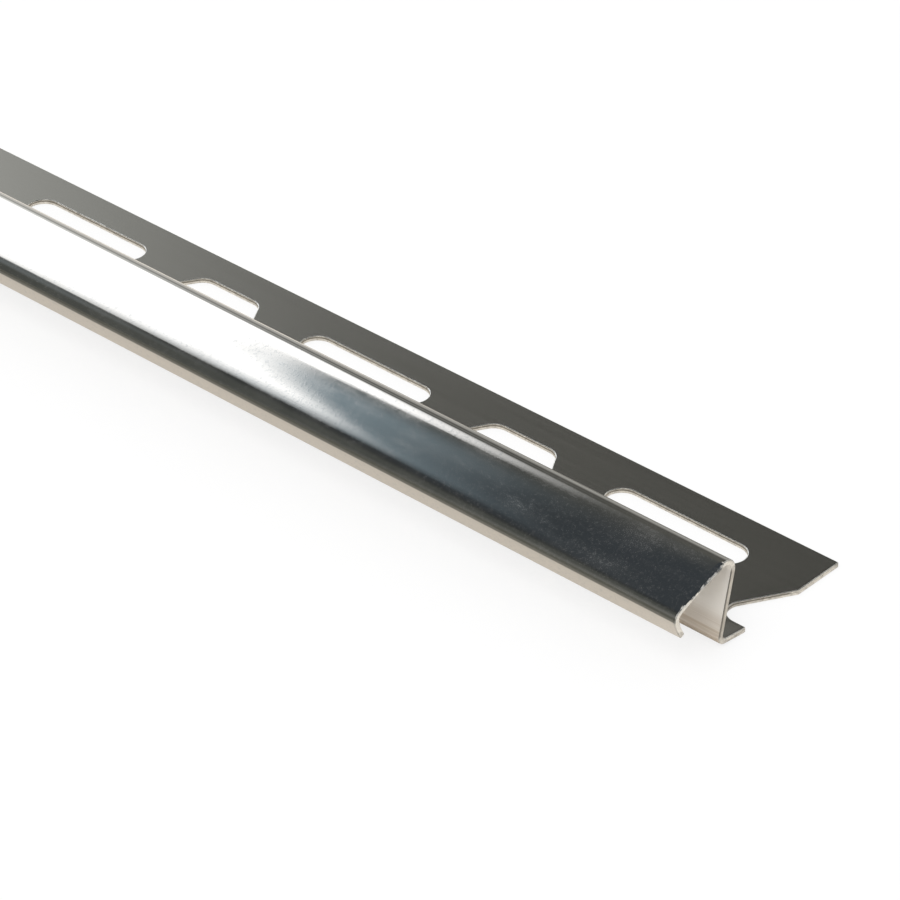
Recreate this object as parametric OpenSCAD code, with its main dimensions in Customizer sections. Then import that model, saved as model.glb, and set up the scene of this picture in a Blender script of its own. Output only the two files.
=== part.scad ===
// Sloped tile edge trim: one roll-formed strip of bright stainless sheet.
// X runs along the strip, Y to the rear (under the tiles), Z up. Millimetres.

/* [Stock] */
// Length that the strip is sold in
stock_l = 1000; // [500:10:3000]
// Sheet thickness
sheet_t = 0.7; // [0.5:0.05:1.2]

/* [Anchoring leg] */
// Leg width, from the front of the lower bend to the rear edge
leg_w = 21.85; // [18:0.05:40]
// Inside radius of the bend between leg and web
foot_r = 0.5; // [0.3:0.1:2.5]

/* [Web] */
// Trim height, from the underside of the leg to the top of the apex
trim_h = 12; // [8:0.5:20]
// Lean of the web to the rear, from upright
web_lean = 11; // [0:1:20]
// Inside radius of the bend between web and face
apex_r = 1.1; // [0.5:0.1:2]

/* [Sloped face] */
// Fall of the face just in front of the apex
face_slope = 14; // [8:1:22]
// Length of the crowned face along its curve
face_l = 7.2; // [4:0.2:12]
// Extra fall that the crown gains over that length
crown_turn = 10; // [4:1:16]
// Extra fall of the front roll
roll_turn = 12; // [6:1:20]
// Inside radius of the front roll
roll_r = 3.6; // [2:0.2:6]

/* [Lip] */
// Inside radius of the bend between roll and lip
lip_r = 0.3; // [0.2:0.05:0.8]
// Lean of the lip back under the face, from upright
lip_back = 22; // [5:1:35]
// Flat length of the lip
lip_l = 2.7; // [1:0.1:4]

/* [Punched openings] */
// Spacing of neighbouring openings, which point to and fro by turns
hole_pitch = 25; // [22:0.5:40]
// Solid rim between the openings and each long side of the leg
rim_w = 4.8; // [4:0.1:7]
// Width of the bridges between openings, square across
bridge_w = 7.2; // [5:0.1:9]
// Slant of the bridges, from straight across the leg
bridge_slant = 30; // [15:1:34]
// Corner radius of the openings
hole_r = 2.2; // [1:0.1:3]
// Distance from the +X end to the middle of the opening that the end cut runs through
cut_at = 6.3; // [-10:0.1:10]

/* [Hidden] */
$fn = 120;
// Arcs reach this far past the sides that they run into
lap = 0.0006;

web_turn = 90 + web_lean;
apex_turn = web_turn + face_slope;
lip_turn = 90 + lip_back - face_slope - crown_turn - roll_turn;
web_l = (trim_h - sheet_t - (foot_r + apex_r + sheet_t) * (1 - cos(web_turn))) / sin(web_turn);
crown_r = face_l * 180 / PI / crown_turn;

// The strip as straight runs with a bend after each: [turn, inside radius]
runs = [leg_w - foot_r - sheet_t, web_l, 0, 0, 0, lip_l];
bends = [[web_turn, foot_r], [-apex_turn, apex_r], [-crown_turn, crown_r], [-roll_turn, roll_r],
    [-lip_turn, lip_r]];
last = len(bends);
reaches = [for (b = bends) (b[1] + sheet_t / 2) * tan(abs(b[0]) / 2)];

function heading(i) = i < 1 ? 0 : heading(i - 1) + bends[i - 1][0];
function dir(a) = [cos(a), sin(a)];
function span(i) = runs[i] + (i > 0 ? reaches[i - 1] : 0) + (i < last ? reaches[i] : 0);
// Sharp corners of the strip's middle line
function knee(i) = i < 1 ? [0, sheet_t / 2] : knee(i - 1) + span(i - 1) * dir(heading(i - 1));
// The corner after run i moved sideways by half the sheet: side 1 is the left of the way, -1 the right
function edge_at(i, side) =
    let (in = heading(max(i - 1, 0)), out = heading(min(i, last)), half = (out - in) / 2)
    knee(i) + side * sheet_t / 2 / cos(half) * dir(in + half + 90);
// Radius there: more than 0 rounds a corner off, less than 0 fills it
function radius_at(i, side) =
    i < 1 || i > last ? 0
    : bends[i - 1][0] * side > 0 ? -bends[i - 1][1] : bends[i - 1][1] + sheet_t;

strip_pts = concat([for (i = [0 : last + 1]) edge_at(i, -1)], [for (i = [last + 1 : -1 : 0]) edge_at(i, 1)]);
strip_rad = concat([for (i = [0 : last + 1]) radius_at(i, -1)], [for (i = [last + 1 : -1 : 0]) radius_at(i, 1)]);

lip_mid = knee(last) - (lip_r + sheet_t / 2) / cos(lip_turn / 2) * dir(heading(last) + lip_turn / 2 + 90);
trim_w = lip_mid[0] + lip_r + sheet_t;

hole_d = leg_w - 2 * rim_w;
hole_mid = hole_pitch - bridge_w / cos(bridge_slant);
hole_long = hole_mid + hole_d * tan(bridge_slant);
hole_short = hole_mid - hole_d * tan(bridge_slant);
hole_n = ceil((stock_l + cut_at + hole_long / 2) / hole_pitch);
hole_pts = [[-hole_long, -hole_d], [hole_long, -hole_d], [hole_short, hole_d], [-hole_short, hole_d]] / 2;
hole_y = trim_w / 2 - leg_w / 2;

function unit(v) = v / norm(v);

// The tip of corner p that an arc of radius r leaves, with sides towards a and b
module tip(a, p, b, r) {
    u = unit(a - p);
    v = unit(b - p);
    half = acos(u * v) / 2;
    axis = unit(u + v);
    difference() {
        polygon([p + u * r / tan(half), p - axis * sheet_t / 2, p + v * r / tan(half)]);
        translate(p + axis * r / sin(half)) circle(r + lap);
    }
}

module tips(pts, rad, sign) {
    n = len(pts);
    for (i = [0 : n - 1])
        if (rad[i] * sign > 0)
            tip(pts[(i + n - sign) % n], pts[i], pts[(i + n + sign) % n], abs(rad[i]));
}

module rounded(pts, rad) {
    difference() {
        union() {
            polygon(pts);
            tips(pts, rad, -1);
        }
        tips(pts, rad, 1);
    }
}

module section() mirror([1, 0]) translate([-trim_w / 2, 0]) rounded(strip_pts, strip_rad);

module opening() rounded(hole_pts, [for (p = hole_pts) hole_r]);

module edge_trim() color("LightSteelBlue")
    difference() {
        rotate([90, 0, 90]) linear_extrude(stock_l, center = true) section();
        for (k = [0 : hole_n - 1])
            translate([stock_l / 2 + cut_at - k * hole_pitch, hole_y, -sheet_t])
                linear_extrude(3 * sheet_t) mirror([0, k % 2]) opening();
    }

edge_trim();
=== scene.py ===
import math

import bmesh
import bpy
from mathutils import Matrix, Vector, noise


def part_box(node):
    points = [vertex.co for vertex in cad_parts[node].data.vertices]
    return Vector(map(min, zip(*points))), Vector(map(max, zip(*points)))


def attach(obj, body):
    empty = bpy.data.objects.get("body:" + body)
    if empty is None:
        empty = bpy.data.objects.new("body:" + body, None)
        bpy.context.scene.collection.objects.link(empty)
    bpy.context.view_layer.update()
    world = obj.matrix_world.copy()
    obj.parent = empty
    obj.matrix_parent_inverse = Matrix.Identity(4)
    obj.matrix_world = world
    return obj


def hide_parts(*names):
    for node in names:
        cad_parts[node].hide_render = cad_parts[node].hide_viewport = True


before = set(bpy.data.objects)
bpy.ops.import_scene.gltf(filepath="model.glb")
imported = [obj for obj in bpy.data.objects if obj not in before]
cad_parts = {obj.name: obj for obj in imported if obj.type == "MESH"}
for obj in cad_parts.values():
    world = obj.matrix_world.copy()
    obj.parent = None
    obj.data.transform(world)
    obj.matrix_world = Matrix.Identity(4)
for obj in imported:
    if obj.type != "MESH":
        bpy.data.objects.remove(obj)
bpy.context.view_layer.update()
trimLow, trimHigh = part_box("edge_trim")
mm = 0.001
print("frame loaded, trim from", tuple(trimLow), "to", tuple(trimHigh))


# Drawing a line in edit mode: each step carries the selected points on, straight or round a bend

def startPen(at, heading, across, up, turnAxis):
    return {"at": Vector(at), "heading": heading, "across": Vector(across), "up": Vector(up),
            "turnAxis": turnAxis}


def penWay(pen, angle):
    return pen["across"] * math.cos(angle) + pen["up"] * math.sin(angle)


def drawStraight(pen, length):
    step = penWay(pen, pen["heading"]) * length
    bpy.ops.mesh.extrude_region_move(TRANSFORM_OT_translate={"value": step})
    pen["at"] += step


def drawBend(pen, turn, radius, steps):
    side = math.copysign(math.pi / 2, turn)
    centre = pen["at"] + penWay(pen, pen["heading"] + side) * radius
    bpy.ops.mesh.spin(steps=steps, angle=turn, center=centre, axis=pen["turnAxis"])
    pen["heading"] += turn
    pen["at"] = centre - penWay(pen, pen["heading"] + side) * radius


def selectEdges(obj, test):
    mesh = bmesh.from_edit_mesh(obj.data)
    bpy.ops.mesh.select_all(action="DESELECT")
    bpy.ops.mesh.select_mode(type="EDGE")
    for edge in mesh.edges:
        if all(test(v.co) for v in edge.verts):
            edge.select_set(True)
    mesh.select_flush(True)
    bmesh.update_edit_mesh(obj.data)


def cutAcross(at, normal):
    bpy.ops.mesh.select_all(action="SELECT")
    bpy.ops.mesh.bisect(plane_co=at, plane_no=normal)


def applyAll(obj):
    bpy.context.view_layer.objects.active = obj
    for modifier in list(obj.modifiers):
        bpy.ops.object.modifier_apply(modifier=modifier.name)


def newPlane(name):
    bpy.ops.object.select_all(action="DESELECT")
    bpy.ops.mesh.primitive_plane_add(size=1)
    plane = bpy.context.object
    plane.name = plane.data.name = name
    return plane


# The strip: a flat leg, bent up to the web, over the apex, along the crowned face and down to the lip

strip = {
    "sheet": 0.7 * mm,
    "legWidth": 21.85 * mm, "footRadius": 0.5 * mm,
    "webLean": math.radians(11), "apexRadius": 1.1 * mm,
    "faceSlope": math.radians(14), "faceLength": 7.2 * mm, "crownTurn": math.radians(10),
    "rollTurn": math.radians(12), "rollRadius": 3.6 * mm,
    "lipRadius": 0.3 * mm, "lipBack": math.radians(22), "lipLength": 2.7 * mm,
    "footSteps": 14, "apexSteps": 20, "crownSteps": 36, "rollSteps": 8, "lipSteps": 14, "lipParts": 4,
    "endCuts": [0.6 * mm, 1.6 * mm, 3 * mm, 5 * mm, 8 * mm, 12 * mm],   # extra cuts across, from the near end
    "edgeRound": 0.11 * mm, "edgeSegments": 3, "edgeAngle": math.radians(65), "shadeAngle": math.radians(40),
}

# each opening has its long side in front or behind by turns, and the near end cuts through the first
openings = {
    "pitch": 25 * mm, "rim": 4.8 * mm, "bridge": 7.2 * mm, "slant": math.radians(30),
    "corner": 2.2 * mm, "cornerSteps": 14, "endCutAt": 6.3 * mm,
}

# sawing off pressed the face's edge down at the near end, left it ragged and raised the foot a little
nearEnd = {
    "above": 5 * mm, "pressed": 0.36 * mm, "pressFall": (0.12, 0.29), "pressSkin": (0.3, 0.5),
    "pressFront": (0.6 * mm, 3.4 * mm), "lineSkin": 0.25, "lineRear": 0.5, "lineRoom": 1.5,
    "ragged": 0.28 * mm, "raggedMid": 0.4, "raggedGain": 1.2,
    "ripples": 800, "fineRipples": 1500, "fineShare": 0.3,
    "hollow": 0.2 * mm, "hollowDeep": 1.6 * mm, "hollowFoot": 5.43 * mm, "hollowTall": 2.6 * mm,
    "lift": 0.4 * mm, "liftAlong": (14 * mm, 6 * mm), "liftDepth": 4.3 * mm, "liftAhead": 2 * mm,
    "liftBend": 0.8 * mm, "liftTall": (8 * mm, 1 * mm),
}


def bendStrip(sheetSteel, cutEdge):
    sheet = strip["sheet"]
    half = sheet / 2
    height = trimHigh.z - trimLow.z
    webTurn = math.pi / 2 + strip["webLean"]
    apexTurn = webTurn + strip["faceSlope"]
    lipTurn = math.pi / 2 + strip["lipBack"] - strip["faceSlope"] - strip["crownTurn"] - strip["rollTurn"]
    bendHeight = (strip["footRadius"] + strip["apexRadius"] + sheet) * (1 - math.cos(webTurn))
    webLength = (height - sheet - bendHeight) / math.sin(webTurn)
    legFlat = strip["legWidth"] - strip["footRadius"] - sheet

    trim = newPlane("trimStrip")
    trim.data.materials.append(sheetSteel)
    trim.data.materials.append(cutEdge)
    bpy.ops.object.mode_set(mode="EDIT")
    bpy.ops.transform.resize(value=(trimHigh.x - trimLow.x, legFlat, 1))
    bpy.ops.transform.translate(value=(0, trimHigh.y - legFlat / 2, half))
    bridgeAt = trimHigh.x + openings["endCutAt"] - openings["pitch"] / 2
    cuts = [trimHigh.x - cut for cut in strip["endCuts"]]
    while bridgeAt > trimLow.x:
        cuts.append(bridgeAt)
        bridgeAt -= openings["pitch"]
    for cut in cuts:
        cutAcross((cut, 0, 0), (1, 0, 0))
    cutAcross((0, trimHigh.y - strip["legWidth"] + nearEnd["liftDepth"], 0), (0, 1, 0))

    frontY = trimHigh.y - legFlat
    selectEdges(trim, lambda co: co.y < frontY + half)
    pen = startPen((0, frontY, half), 0, (0, -1, 0), (0, 0, 1), (1, 0, 0))
    drawBend(pen, webTurn, strip["footRadius"] + half, strip["footSteps"])
    drawStraight(pen, webLength)
    drawBend(pen, -apexTurn, strip["apexRadius"] + half, strip["apexSteps"])
    crownRadius = strip["faceLength"] / strip["crownTurn"]
    drawBend(pen, -strip["crownTurn"], crownRadius + half, strip["crownSteps"])
    drawBend(pen, -strip["rollTurn"], strip["rollRadius"] + half, strip["rollSteps"])
    drawBend(pen, -lipTurn, strip["lipRadius"] + half, strip["lipSteps"])
    for part in range(strip["lipParts"]):
        drawStraight(pen, strip["lipLength"] / strip["lipParts"])

    bpy.ops.mesh.select_all(action="SELECT")
    bpy.ops.mesh.remove_doubles(threshold=0.001 * mm)
    bpy.ops.mesh.normals_make_consistent(inside=False)
    bpy.ops.object.mode_set(mode="OBJECT")
    thickness = trim.modifiers.new("thickness", "SOLIDIFY")
    thickness.thickness = sheet
    thickness.offset = 0
    thickness.use_even_offset = True
    thickness.material_offset_rim = 1
    applyAll(trim)
    print("strip bent:", len(trim.data.polygons), "faces")
    return trim


def shapePunch(cutEdge):
    depth = strip["legWidth"] - 2 * openings["rim"]
    midLength = openings["pitch"] - openings["bridge"] / math.cos(openings["slant"])
    spread = depth * math.tan(openings["slant"])
    longSide, shortSide = midLength + spread, midLength - spread
    slantSide = depth / math.cos(openings["slant"])
    sharpTurn, bluntTurn = math.pi / 2 + openings["slant"], math.pi / 2 - openings["slant"]
    radius = openings["corner"]
    sharpReach, bluntReach = radius * math.tan(sharpTurn / 2), radius * math.tan(bluntTurn / 2)
    rowY = trimHigh.y - strip["legWidth"] / 2
    sheet = strip["sheet"]

    punch = newPlane("punch")
    bpy.ops.object.mode_set(mode="EDIT")
    bpy.ops.mesh.select_mode(type="VERT")
    bpy.ops.mesh.select_all(action="SELECT")
    bpy.ops.mesh.merge(type="CENTER")
    start = Vector((trimHigh.x + openings["endCutAt"], rowY - depth / 2, -sheet))
    bpy.ops.transform.translate(value=start)
    pen = startPen(start, 0, (1, 0, 0), (0, 1, 0), (0, 0, -1))
    drawStraight(pen, longSide / 2 - sharpReach)
    drawBend(pen, sharpTurn, radius, openings["cornerSteps"])
    drawStraight(pen, slantSide - sharpReach - bluntReach)
    drawBend(pen, bluntTurn, radius, openings["cornerSteps"])
    drawStraight(pen, shortSide - 2 * bluntReach)
    drawBend(pen, bluntTurn, radius, openings["cornerSteps"])
    drawStraight(pen, slantSide - sharpReach - bluntReach)
    drawBend(pen, sharpTurn, radius, openings["cornerSteps"])
    drawStraight(pen, longSide / 2 - sharpReach)
    bpy.ops.mesh.select_all(action="SELECT")
    bpy.ops.mesh.remove_doubles(threshold=0.01 * mm)
    bpy.ops.mesh.edge_face_add()
    bpy.ops.mesh.extrude_region_move(TRANSFORM_OT_translate={"value": (0, 0, 3 * sheet)})
    bpy.ops.mesh.select_all(action="SELECT")
    bpy.ops.mesh.normals_make_consistent(inside=False)
    bpy.ops.object.mode_set(mode="OBJECT")
    punch.data.materials.append(cutEdge)

    # every second opening points the other way
    bpy.ops.object.duplicate()
    turned = bpy.context.object
    bpy.ops.object.mode_set(mode="EDIT")
    bpy.ops.mesh.select_all(action="SELECT")
    bpy.ops.transform.resize(value=(1, -1, 1), center_override=(0, rowY, 0))
    bpy.ops.transform.translate(value=(-openings["pitch"], 0, 0))
    bpy.ops.mesh.normals_make_consistent(inside=False)
    bpy.ops.object.mode_set(mode="OBJECT")
    length = trimHigh.x - trimLow.x
    count = math.ceil((length + openings["endCutAt"] + longSide / 2) / openings["pitch"])
    for tool, number in ((punch, (count + 1) // 2), (turned, count // 2)):
        row = tool.modifiers.new("row", "ARRAY")
        row.use_relative_offset = False
        row.use_constant_offset = True
        row.constant_offset_displace = (-2 * openings["pitch"], 0, 0)
        row.count = number
        applyAll(tool)
    bpy.ops.object.select_all(action="DESELECT")
    turned.select_set(True)
    punch.select_set(True)
    bpy.context.view_layer.objects.active = punch
    bpy.ops.object.join()
    print("punch made for", count, "openings")
    return punch


def clamp(value):
    return min(max(value, 0), 1)


def smooth(value, start, end):
    share = clamp((value - start) / (end - start))
    return share * share * (3 - 2 * share)


def pressFace(trim):
    pressBack = strip["endCuts"][0]
    lineRoom = nearEnd["lineRoom"] * strip["edgeRound"]   # keeps the line clear of the rounded edge
    near = 0.02 * mm
    pressLine = set()
    outward = [Vector((0, vertex.normal.y, vertex.normal.z)).normalized() for vertex in trim.data.vertices]
    # the outer skin's end points go in and back, and the first points behind them move up to form a crease
    for vertex, skin in zip(trim.data.vertices, outward):
        co = vertex.co
        back = trimHigh.x - co.x
        if co.z <= nearEnd["above"] or back >= pressBack + near / 2:
            continue
        press = smooth(-skin.y, *nearEnd["pressFall"]) * smooth(skin.z, *nearEnd["pressSkin"])
        press *= smooth(co.y - trimLow.y, *nearEnd["pressFront"])
        if back > near and skin.z > nearEnd["lineSkin"] and skin.y < nearEnd["lineRear"]:
            pressLine.add(vertex.index)
            co.x += pressBack - max(pressBack * press, lineRoom + nearEnd["ragged"] * press)
        elif back < near:
            ripple = noise.noise(Vector((co.y, co.z, 0)) * nearEnd["ripples"])
            ripple += nearEnd["fineShare"] * noise.noise(Vector((co.z, co.y, 3)) * nearEnd["fineRipples"])
            co -= skin * (nearEnd["pressed"] * press)
            co.x -= nearEnd["ragged"] * press * clamp(nearEnd["raggedMid"] + nearEnd["raggedGain"] * ripple)
            if co.y < trimLow.y + nearEnd["hollowDeep"]:
                share = clamp((co.z - trimLow.z - nearEnd["hollowFoot"]) / nearEnd["hollowTall"])
                co.x -= nearEnd["hollow"] * math.sin(math.pi * share)
    for edge in trim.data.edges:
        if pressLine.issuperset(edge.vertices):
            edge.use_edge_sharp = True


def liftFoot(trim):
    footFront = trimHigh.y - strip["legWidth"]
    liftRear = footFront + nearEnd["liftDepth"]
    for vertex in trim.data.vertices:
        co = vertex.co
        back = trimHigh.x - co.x
        if back < nearEnd["liftAlong"][0] and footFront - nearEnd["liftAhead"] < co.y < liftRear:
            share = smooth(back, *nearEnd["liftAlong"])
            share *= smooth(co.y, liftRear, footFront + nearEnd["liftBend"]) * smooth(co.z, *nearEnd["liftTall"])
            co.z += nearEnd["lift"] * share


def punchStrip(trim, punch):
    holes = trim.modifiers.new("openings", "BOOLEAN")
    holes.operation = "DIFFERENCE"
    holes.solver = "EXACT"
    holes.object = punch
    holes.material_mode = "TRANSFER"
    applyAll(trim)
    bpy.data.objects.remove(punch)
    pressFace(trim)
    liftFoot(trim)
    trim.data.update()
    rounding = trim.modifiers.new("rolledEdges", "BEVEL")
    rounding.width = strip["edgeRound"]
    rounding.segments = strip["edgeSegments"]
    rounding.limit_method = "ANGLE"
    rounding.angle_limit = strip["edgeAngle"]
    rounding.use_clamp_overlap = True
    rounding.material = 1
    applyAll(trim)
    bpy.ops.object.select_all(action="DESELECT")
    trim.select_set(True)
    bpy.ops.object.shade_smooth_by_angle(angle=strip["shadeAngle"], keep_sharp_edges=True)
    evenShade = trim.modifiers.new("evenShade", "WEIGHTED_NORMAL")   # flats stay flat up to their rolled edges
    evenShade.weight = 100
    evenShade.keep_sharp = True
    applyAll(trim)
    print("strip punched:", len(trim.data.polygons), "faces")


# Finishes

def newMaterial(name):
    material = bpy.data.materials.new(name)
    material.use_nodes = True
    return material, material.node_tree


def addNode(tree, kind, links=None, **values):
    node = tree.nodes.new(kind)
    for name, value in values.items():
        setattr(node, name, value)
    for socket, value in (links or {}).items():
        if isinstance(value, bpy.types.NodeSocket):
            tree.links.new(value, node.inputs[socket])
        else:
            node.inputs[socket].default_value = value
    return node


def calc(tree, operation, first, second=0.0):
    return addNode(tree, "ShaderNodeMath", {0: first, 1: second}, operation=operation).outputs[0]


def product(tree, first, *others):
    for other in others:
        first = calc(tree, "MULTIPLY", first, other)
    return first


def total(tree, first, *others):
    for other in others:
        first = calc(tree, "ADD", first, other)
    return first


def fade(tree, value, start, end, low=0.0, high=1.0):
    links = {"Value": value, "From Min": start, "From Max": end, "To Min": low, "To Max": high}
    return addNode(tree, "ShaderNodeMapRange", links, interpolation_type="SMOOTHSTEP").outputs[0]


def blend(tree, amount, first, second):
    return addNode(tree, "ShaderNodeMix", {0: amount, 6: first, 7: second}, data_type="RGBA").outputs[2]


def stretch(tree, place, by):
    return addNode(tree, "ShaderNodeVectorMath", {0: place, 1: by}, operation="MULTIPLY").outputs[0]


def noiseField(tree, place, settings):
    return addNode(tree, "ShaderNodeTexNoise", {"Vector": place, **settings}).outputs[0]


def newGroup(name, inputs, outputs):
    group = bpy.data.node_groups.new(name, "ShaderNodeTree")
    for socket, kind in inputs:
        group.interface.new_socket(socket, in_out="INPUT", socket_type=kind)
    for socket in outputs:
        group.interface.new_socket(socket, in_out="OUTPUT", socket_type="NodeSocketFloat")
    return group, group.nodes.new("NodeGroupInput"), group.nodes.new("NodeGroupOutput")


def useGroup(tree, group, place):
    node = addNode(tree, "ShaderNodeGroup", node_tree=group)
    tree.links.new(place, node.inputs["Place"])
    return node


# a point's Y once it is carried down to the floor along the web's lean, so that one value parts face, web and leg
def acrossByLean(tree, axes):
    lean = calc(tree, "MULTIPLY", axes.outputs["Z"], math.tan(strip["webLean"]))
    return calc(tree, "SUBTRACT", axes.outputs["Y"], lean)


# fine lines that the rolls leave along the strip
rollLines = {"stretch": (0.012, 1, 1), "detail": 4.0, "roughness": 0.65, "fade": (0.25, 0.75), "fineness": 2600}


def makeRolledGrain():
    group, entry, leave = newGroup("rolledGrain", [("Place", "NodeSocketVector"), ("Fineness", "NodeSocketFloat")],
                                   ["Lines"])
    drawn = stretch(group, entry.outputs["Place"], rollLines["stretch"])
    lines = noiseField(group, drawn, {"Scale": entry.outputs["Fineness"], "Detail": rollLines["detail"],
                                      "Roughness": rollLines["roughness"]})
    group.links.new(fade(group, lines, *rollLines["fade"]), leave.inputs["Lines"])
    return group


# dust specks, a fine haze and the soft smears that hands leave
handling = {
    "smearStretch": (0.35, 1, 1),
    "smear": {"Scale": 330.0, "Detail": 5.0, "Roughness": 0.58}, "smearFade": (0.4, 0.75),
    "speck": {"Scale": 2400.0, "Detail": 2.0, "Roughness": 0.55, "Distortion": 0.8}, "speckFade": (0.5, 0.72),
    "haze": {"Scale": 1500.0, "Detail": 5.0, "Roughness": 0.65}, "hazeFade": (0.3, 0.7),
}


def makeHandling():
    group, entry, leave = newGroup("handlingMarks", [("Place", "NodeSocketVector")], ["Smears", "Specks", "Haze"])
    place = entry.outputs["Place"]
    smear = noiseField(group, stretch(group, place, handling["smearStretch"]), handling["smear"])
    speck = noiseField(group, place, handling["speck"])
    haze = noiseField(group, place, handling["haze"])
    group.links.new(fade(group, smear, *handling["smearFade"]), leave.inputs["Smears"])
    group.links.new(fade(group, speck, *handling["speckFade"]), leave.inputs["Specks"])
    group.links.new(fade(group, haze, *handling["hazeFade"]), leave.inputs["Haze"])
    return group


steel = {
    "colour": (0.67, 0.635, 0.585, 1), "leg": (0.42, 0.402, 0.362, 1), "web": (0.95, 0.915, 0.86, 1),
    # dust is a real tint; the brown colour beside it is painted shade for the foot of the web
    "dust": (0.42, 0.44, 0.45, 1), "footShade": (0.5, 0.41, 0.312, 1),
    "faceFrom": (-7.5 * mm, -8.1 * mm), "apexFrom": (10.9 * mm, 11.2 * mm), "webFrom": (-5.8 * mm, -6.3 * mm),
    "faceRoughness": 0.03, "legRoughness": 0.21, "webRoughness": 0.46,
    "lineDull": (0.04, 0.01), "hazeDull": 0.015, "speckDull": (0.016, 0.04), "smearDull": 0.05,
    "dustShare": 0.6, "dustTint": 0.4, "footShadeFrom": (5.6 * mm, 1.6 * mm), "footShadeLines": (0.5, 1),
    "dustVeil": 0.06, "smearVeil": 0.02, "webVeil": 0.75,
    "speckHeight": 0.6, "bumpStrength": 0.03, "bumpDistance": 0.012 * mm,
}


def makeSheetSteel(grainGroup, marksGroup):
    material, tree = newMaterial("sheetSteel")
    shader = tree.nodes["Principled BSDF"]
    place = addNode(tree, "ShaderNodeTexCoord").outputs["Object"]
    axes = addNode(tree, "ShaderNodeSeparateXYZ", {0: place})
    grain = useGroup(tree, grainGroup, place)
    grain.inputs["Fineness"].default_value = rollLines["fineness"]
    lines = grain.outputs["Lines"]
    marks = useGroup(tree, marksGroup, place)
    specks = marks.outputs["Specks"]

    # the apex, the face and the lip are bright, the leg and the web behind them are dull
    across = acrossByLean(tree, axes)
    bright = calc(tree, "MAXIMUM", fade(tree, across, *steel["faceFrom"]),
                  fade(tree, axes.outputs["Z"], *steel["apexFrom"]))
    web = product(tree, fade(tree, across, *steel["webFrom"]), fade(tree, bright, 1, 0))
    smears = product(tree, marks.outputs["Smears"], bright)
    dust = product(tree, specks, steel["dustShare"], bright)

    dull = fade(tree, web, 0, 1, steel["legRoughness"], steel["webRoughness"])
    plain = addNode(tree, "ShaderNodeMix", {0: bright, 2: dull, 3: steel["faceRoughness"]}).outputs[0]
    lineDull = fade(tree, bright, 0, 1, *steel["lineDull"])
    speckDull = product(tree, specks, fade(tree, smears, 0, 1, *steel["speckDull"]), bright)
    rough = total(tree, plain, product(tree, lines, lineDull), product(tree, marks.outputs["Haze"], steel["hazeDull"]),
                  speckDull, product(tree, smears, steel["smearDull"]))
    tree.links.new(rough, shader.inputs["Roughness"])

    tint = blend(tree, bright, blend(tree, web, steel["leg"], steel["web"]), steel["colour"])
    tint = blend(tree, product(tree, dust, steel["dustTint"]), tint, steel["dust"])
    # painted shade: the foot of the web is painted browner and darker towards the floor, in streaks along the rolled
    # lines
    footShade = product(tree, web, fade(tree, axes.outputs["Z"], *steel["footShadeFrom"]),
                     fade(tree, lines, 0, 1, *steel["footShadeLines"]))
    tree.links.new(blend(tree, footShade, tint, steel["footShade"]), shader.inputs["Base Color"])

    veil = total(tree, product(tree, dust, steel["dustVeil"]), product(tree, smears, steel["smearVeil"]),
                 product(tree, web, steel["webVeil"]))
    tree.links.new(calc(tree, "SUBTRACT", 1.0, veil), shader.inputs["Metallic"])
    height = total(tree, lines, product(tree, specks, steel["speckHeight"]))
    bump = addNode(tree, "ShaderNodeBump", {"Strength": steel["bumpStrength"], "Distance": steel["bumpDistance"],
                                            "Height": height})
    tree.links.new(bump.outputs[0], shader.inputs["Normal"])
    return material


cutLook = {
    "pale": (0.88, 0.86, 0.81, 1), "chip": (0.46, 0.44, 0.41, 1), "chipSpecks": (0, 0.7, 0.5, 1),
    "roughness": (0.26, 0.46), "sawnFrom": (trimHigh.x - 0.7 * mm, trimHigh.x - 0.4 * mm),
    # the dark line colour, its heights and its share paint shade on the cut walls
    "line": (0.15, 0.135, 0.11, 1), "lineTop": (0.6 * mm, 0.53 * mm), "lineFoot": (0.3 * mm, 0.38 * mm),
    "lineShare": (0.85, 0.25),
    # the web's end is grey; the dark corner colour is a painted shadow at its front
    "webEnd": (0.5, 0.475, 0.43, 1), "webCornerShadow": (0.16, 0.15, 0.13, 1), "webShare": 0.8,
    "webFoot": (1 * mm, 2 * mm), "webTop": (10.8 * mm, 9.8 * mm), "webFront": (-7.5 * mm, -7.3 * mm),
    "cornerShadowFrom": (-7.04 * mm, -7.12 * mm),
    "burr": (0.8, 0.785, 0.74, 1), "burrFoot": (6.5 * mm, 7.5 * mm), "burrRear": (-8.3 * mm, -8.8 * mm),
    "burrHaze": (0.4, 0.8), "burrMetal": 0.55,
    "bumpStrength": 0.2, "bumpDistance": 0.03 * mm,
}


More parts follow.
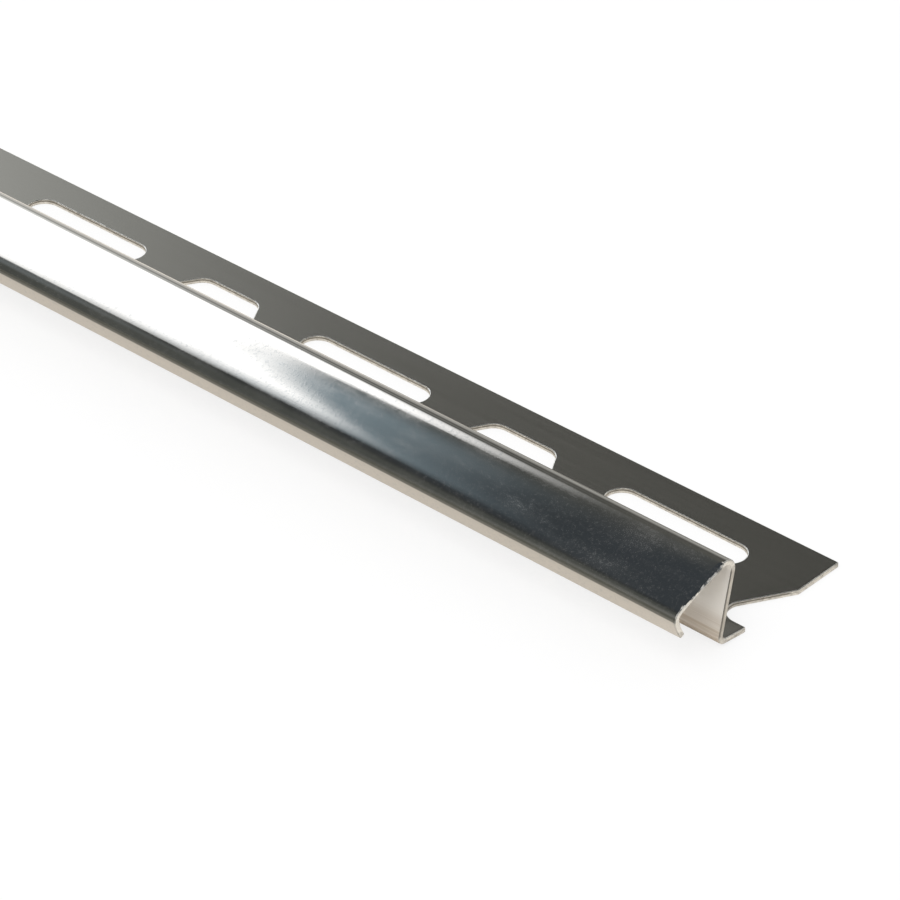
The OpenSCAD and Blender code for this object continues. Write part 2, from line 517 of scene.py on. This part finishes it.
def makeCutEdge(marksGroup):
    material, tree = newMaterial("cutEdge")
    shader = tree.nodes["Principled BSDF"]
    place = addNode(tree, "ShaderNodeTexCoord").outputs["Object"]
    axes = addNode(tree, "ShaderNodeSeparateXYZ", {0: place})
    up = axes.outputs["Z"]
    across = acrossByLean(tree, axes)
    marks = useGroup(tree, marksGroup, place)
    haze = marks.outputs["Haze"]
    tree.links.new(fade(tree, haze, 0, 1, *cutLook["roughness"]), shader.inputs["Roughness"])
    chips = product(tree, haze, fade(tree, marks.outputs["Specks"], *cutLook["chipSpecks"]))
    tint = blend(tree, chips, cutLook["pale"], cutLook["chip"])
    sawn = fade(tree, axes.outputs["X"], *cutLook["sawnFrom"])
    # painted shade: a dark line along the leg's cut walls, just above their middle, fainter on the sawn near end
    line = product(tree, fade(tree, up, *cutLook["lineTop"]), fade(tree, up, *cutLook["lineFoot"]),
                   fade(tree, sawn, 0, 1, *cutLook["lineShare"]))
    tint = blend(tree, line, tint, cutLook["line"])
    # the web's end is grey, with a painted shadow along its front corner
    webEnd = product(tree, fade(tree, up, *cutLook["webFoot"]), fade(tree, up, *cutLook["webTop"]), sawn,
                     fade(tree, across, *cutLook["webFront"]))
    webEndAndShadow = blend(tree, fade(tree, across, *cutLook["cornerShadowFrom"]), cutLook["webEnd"], cutLook["webCornerShadow"])
    tint = blend(tree, product(tree, webEnd, cutLook["webShare"]), tint, webEndAndShadow)
    # pale burrs on the face's end
    burr = product(tree, fade(tree, up, *cutLook["burrFoot"]), fade(tree, across, *cutLook["burrRear"]), sawn,
                   fade(tree, haze, *cutLook["burrHaze"]))
    tree.links.new(blend(tree, burr, tint, cutLook["burr"]), shader.inputs["Base Color"])
    tree.links.new(fade(tree, burr, 0, 1, 1, cutLook["burrMetal"]), shader.inputs["Metallic"])
    bump = addNode(tree, "ShaderNodeBump", {"Strength": cutLook["bumpStrength"], "Distance": cutLook["bumpDistance"],
                                            "Height": haze})
    tree.links.new(bump.outputs[0], shader.inputs["Normal"])
    return material


grainGroup = makeRolledGrain()
marksGroup = makeHandling()
sheetSteel = makeSheetSteel(grainGroup, marksGroup)
cutEdge = makeCutEdge(marksGroup)
print("finishes made")
trim = bendStrip(sheetSteel, cutEdge)
punchStrip(trim, shapePunch(cutEdge))
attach(trim, "root")
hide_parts("edge_trim")


# Studio: a floor that the camera sees white, an even fill, and a surround that only reflections see

floorLook = {
    "size": 40, "seen": (1, 1, 1, 1), "shadowLift": 0.8, "bounce": (0.9, 0.88, 0.85, 1),
    "near": (0.91, 0.868, 0.806, 1), "mid": (0.25, 0.25, 0.23, 1), "far": (0.12, 0.125, 0.112, 1),
    "midFrom": (-14.6 * mm, -17.7 * mm), "farFrom": (-17.7 * mm, -34 * mm),
    # the rear colour and its bounds paint shade on the floor behind the near end
    "rear": (0.24, 0.238, 0.226, 1), "rearShadeFrom": (14 * mm, 17 * mm), "rearShadeAlong": (405 * mm, 470 * mm),
    "rearShadeSkew": 0.56,
}


def layFloor():
    floor = newPlane("floor")
    bpy.ops.object.mode_set(mode="EDIT")
    bpy.ops.mesh.select_all(action="SELECT")
    bpy.ops.transform.resize(value=(floorLook["size"], floorLook["size"], 1))
    bpy.ops.object.mode_set(mode="OBJECT")
    material, tree = newMaterial("paleFloor")
    shader = tree.nodes["Principled BSDF"]
    path = addNode(tree, "ShaderNodeLightPath")
    seen = path.outputs["Is Camera Ray"]
    place = addNode(tree, "ShaderNodeSeparateXYZ", {0: addNode(tree, "ShaderNodeTexCoord").outputs["Object"]})
    across = place.outputs["Y"]
    ahead = blend(tree, fade(tree, across, *floorLook["farFrom"]), floorLook["mid"], floorLook["far"])
    away = fade(tree, across, *floorLook["midFrom"])
    # painted shade: a grey patch on the floor behind the near end, seen only in reflections
    along = calc(tree, "ADD", place.outputs["X"], product(tree, across, floorLook["rearShadeSkew"]))
    rearShade = product(tree, fade(tree, across, *floorLook["rearShadeFrom"]), fade(tree, along, *floorLook["rearShadeAlong"]))
    mirrored = blend(tree, rearShade, blend(tree, away, floorLook["near"], ahead), floorLook["rear"])
    bounced = blend(tree, path.outputs["Is Glossy Ray"], floorLook["bounce"], mirrored)
    tree.links.new(blend(tree, seen, bounced, floorLook["seen"]), shader.inputs["Base Color"])
    # to the camera the floor is white and keeps a light shadow
    white = addNode(tree, "ShaderNodeEmission", {"Color": floorLook["seen"], "Strength": 1.0})
    lift = product(tree, seen, floorLook["shadowLift"])
    mixed = addNode(tree, "ShaderNodeMixShader", {0: lift, 1: shader.outputs[0], 2: white.outputs[0]})
    tree.links.new(mixed.outputs[0], tree.nodes["Material Output"].inputs["Surface"])
    shader.inputs["Roughness"].default_value = 1
    shader.inputs["Specular IOR Level"].default_value = 0
    floor.data.materials.append(material)
    print("floor laid")


studio = {
    "fill": 0.7, "keyPower": 95, "keySize": 3, "keyPlace": (0.6, -2.5, 3.3),
    "softBox": (1.86, 1.94, 2.06, 1), "glow": (0.25, 0.34, 0.41, 1),
    "rearWallLow": (0.72, 0.73, 0.73, 1), "rearWallNear": (0.44, 0.45, 0.445, 1),
    "rearWallFar": (0.92, 0.97, 0.99, 1), "rearWall": (0.098, 0.1, 0.096, 1), "rearWallHigh": (0.1, 0.105, 0.1, 1),
    "frontWallLow": (0.085, 0.094, 0.091, 1), "frontSpill": (0.17, 0.195, 0.21, 1),
    "frontWall": (0.042, 0.047, 0.05, 1), "ceiling": (0.05, 0.061, 0.073, 1), "room": (0.85, 0.85, 0.84, 1),
}

# where the parts of the surround begin and end, in degrees of turn or rise, and how their edges slant
surround = {
    "boxFront": (-10, -1.5), "boxRear": (34, 25), "boxTop": (54.4, 52.6), "boxFoot": (8, 18),
    "slantRise": 45.0, "frontSlant": 0.88, "rearSlant": 0.35, "rearSlantLeast": -14.0,
    "topTurn": 7.0, "topSlant": 0.21, "haloSlant": 0.1, "stripRise": 53.0, "stripSlant": 1.9,
    "stripFront": (24.4, 26.0), "stripTop": (54.2, 50.6),
    "haloTop": (57.5, 53.3), "haloFront": (-2.5, 2.5), "haloRear": (25, 14),
    "rearMidTurn": (36, 47), "rearLowTurn": (47, 57), "rearMidRise": (12, 34), "rearHighRise": (34, 46),
    "frontRise": (48, 55), "spillFront": (-27, -17), "spillTop": (52, 47), "rearTurn": (6, 30),
    "ceilingRise": (52, 58), "openRear": (80, 104), "openFront": (-47, -102), "openRise": (70, 86),
    "screenTurn": (122, 134), "screenTop": (86, 79),
}


def lightStudio():
    world = bpy.data.worlds.new("studioSurround")
    bpy.context.scene.world = world
    world.use_nodes = True
    tree = world.node_tree
    background = tree.nodes["Background"]

    def part(value, name):
        return fade(tree, value, *surround[name])

    def slant(value, start, rate):
        return product(tree, calc(tree, "SUBTRACT", value, start), rate)

    way = addNode(tree, "ShaderNodeSeparateXYZ", {0: addNode(tree, "ShaderNodeTexCoord").outputs["Generated"]})
    farward = product(tree, way.outputs["X"], -1.0)
    # turn from the strip's far end, more than 0 to the rear, and rise above the floor, in degrees
    turn = calc(tree, "DEGREES", calc(tree, "ARCTAN2", way.outputs["Y"], farward))
    rise = calc(tree, "DEGREES", calc(tree, "ARCSINE", way.outputs["Z"]))

    # the soft box: slanted at its front, rear and top, with a bright strip up its rear edge and a halo above
    above = calc(tree, "SUBTRACT", rise, surround["slantRise"])
    frontSlant = product(tree, calc(tree, "MAXIMUM", above, 0.0), surround["frontSlant"])
    frontEdge = calc(tree, "SUBTRACT", turn, frontSlant)
    rearSlant = product(tree, calc(tree, "MAXIMUM", above, surround["rearSlantLeast"]), surround["rearSlant"])
    rearEdge = calc(tree, "ADD", turn, rearSlant)
    topEdge = calc(tree, "ADD", rise, slant(turn, surround["topTurn"], surround["topSlant"]))
    haloEdge = calc(tree, "ADD", rise, slant(turn, surround["topTurn"], surround["haloSlant"]))
    stripEdge = calc(tree, "SUBTRACT", turn, slant(rise, surround["stripRise"], surround["stripSlant"]))
    rearStrip = product(tree, part(stripEdge, "stripFront"), part(rise, "stripTop"))
    top = calc(tree, "MAXIMUM", part(topEdge, "boxTop"), rearStrip)
    box = product(tree, part(frontEdge, "boxFront"), part(rearEdge, "boxRear"), top, part(rise, "boxFoot"))
    halo = product(tree, part(haloEdge, "haloTop"), part(turn, "haloFront"), part(turn, "haloRear"))

    # dark walls and ceiling round it, and an open, pale room to the sides and overhead
    rearMid = blend(tree, part(turn, "rearMidTurn"), studio["rearWallFar"], studio["rearWall"])
    rearLow = blend(tree, part(turn, "rearLowTurn"), studio["rearWallLow"], studio["rearWallNear"])
    rear = blend(tree, part(rise, "rearMidRise"), rearLow, rearMid)
    rear = blend(tree, part(rise, "rearHighRise"), rear, studio["rearWallHigh"])
    front = blend(tree, part(rise, "frontRise"), studio["frontWallLow"], studio["frontWall"])
    spill = product(tree, part(frontEdge, "spillFront"), part(rise, "spillTop"))
    front = blend(tree, spill, front, studio["frontSpill"])
    wall = blend(tree, part(turn, "rearTurn"), front, rear)
    dark = blend(tree, part(rise, "ceilingRise"), wall, studio["ceiling"])
    dark = blend(tree, halo, dark, studio["glow"])
    side = calc(tree, "MAXIMUM", part(turn, "openRear"), part(turn, "openFront"))
    opened = calc(tree, "MAXIMUM", side, part(rise, "openRise"))
    lit = blend(tree, opened, dark, studio["room"])
    # a dark screen stands past the near end
    screen = product(tree, part(calc(tree, "ABSOLUTE", turn), "screenTurn"), part(rise, "screenTop"))
    lit = blend(tree, screen, lit, studio["ceiling"])
    mirrored = blend(tree, box, lit, studio["softBox"])

    path = addNode(tree, "ShaderNodeLightPath")
    fill = studio["fill"]
    plain = blend(tree, path.outputs["Is Camera Ray"], (fill, fill, fill, 1), (1, 1, 1, 1))
    tree.links.new(blend(tree, path.outputs["Is Glossy Ray"], plain, mirrored), background.inputs["Color"])

    bpy.ops.object.light_add(type="AREA", location=studio["keyPlace"])
    key = bpy.context.object
    key.name = "keyLamp"
    key.data.energy = studio["keyPower"]
    key.data.size = studio["keySize"]
    key.rotation_euler = Vector(studio["keyPlace"]).to_track_quat("Z", "Y").to_euler()
    key.visible_glossy = False
    print("studio lit")


view = {"place": (0.725525, -0.298678, 0.274139), "down": 33.906, "turn": 42.39, "lens": 163.37, "sensor": 36,
        "clipStart": 0.01}


def placeCamera():
    data = bpy.data.cameras.new("photoCamera")
    data.sensor_width = view["sensor"]
    data.lens = view["lens"]
    data.clip_start = view["clipStart"]
    camera = bpy.data.objects.new("photoCamera", data)
    camera.location = view["place"]
    camera.rotation_euler = (math.radians(90 - view["down"]), 0, math.radians(view["turn"]))
    bpy.context.scene.collection.objects.link(camera)
    bpy.context.scene.camera = camera
    print("camera placed")


layFloor()
lightStudio()
placeCamera()
bpy.context.scene.view_settings.view_transform = "Standard"
